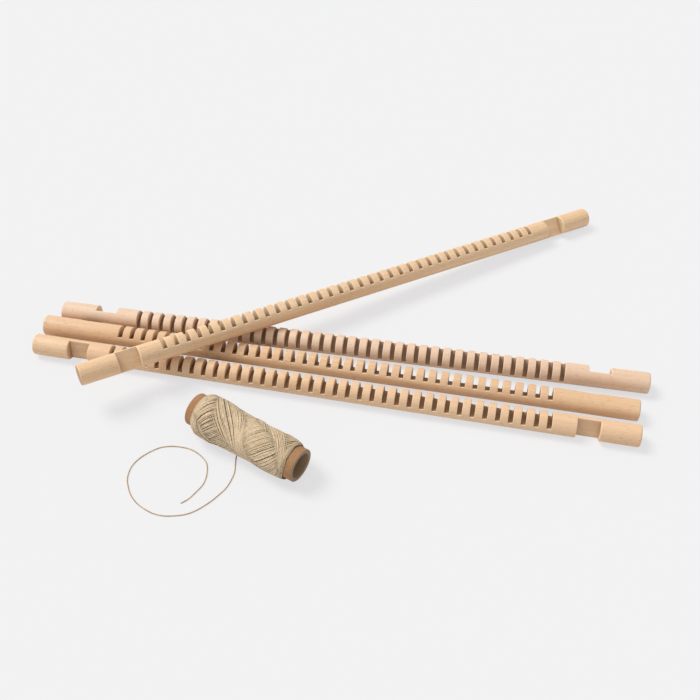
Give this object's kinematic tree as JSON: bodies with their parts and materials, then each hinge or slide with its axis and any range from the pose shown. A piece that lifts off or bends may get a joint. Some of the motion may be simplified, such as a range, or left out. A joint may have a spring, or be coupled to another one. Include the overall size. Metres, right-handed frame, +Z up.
{
  "type": "weaving frame",
  "caption": "Weaving frame kit: long round beech rods with combs of slits and half-depth notches near the ends, and a cardboard spool of linen thread with its free end in a loop.",
  "frame": {"origin": "on the surface that the set lies on, under the middle of the box round the rods and the spool", "axes": "+X along the middle rod, to the right; +Y away from the viewer; +Z up from the surface"},
  "size_m": [0.4068, 0.332, 0.0346],
  "materials": {
    "back_beech": "bare sanded beech, slightly pink",
    "middle_beech": "bare sanded beech, honey coloured",
    "front_beech": "bare sanded beech, yellowish",
    "crossing_beech": "bare sanded beech, pale straw",
    "card": "brown kraft cardboard, matte",
    "inner_thread": "natural linen thread in shade",
    "thread": "natural linen thread"
  },
  "bodies": {
    "back_rod": {"back_rod": "back_beech"},
    "middle_rod": {"middle_rod": "middle_beech"},
    "front_rod": {"front_rod": "front_beech"},
    "crossing_rod": {"crossing_rod": "crossing_beech"},
    "spool": {"spool_tube": "card", "thread_core": "inner_thread", "thread_winding": "thread", "loose_thread": "thread"}
  },
  "joints": [
    {"name": "middle_rod_pull", "type": "slide", "parent": "back_rod", "child": "middle_rod", "axis": [1, 0, 0], "range_m": [0, 0.42]},
    {"name": "front_rod_pull", "type": "slide", "parent": "back_rod", "child": "front_rod", "axis": [1, -0.0063, 0], "range_m": [0, 0.42]},
    {"name": "crossing_rod_lift", "type": "slide", "parent": "back_rod", "child": "crossing_rod", "axis": [0, 0, 1], "range_m": [0, 0.12]},
    {"name": "spool_lift", "type": "slide", "parent": "back_rod", "child": "spool", "axis": [0, 0, 1], "range_m": [0, 0.12]}
  ]
}
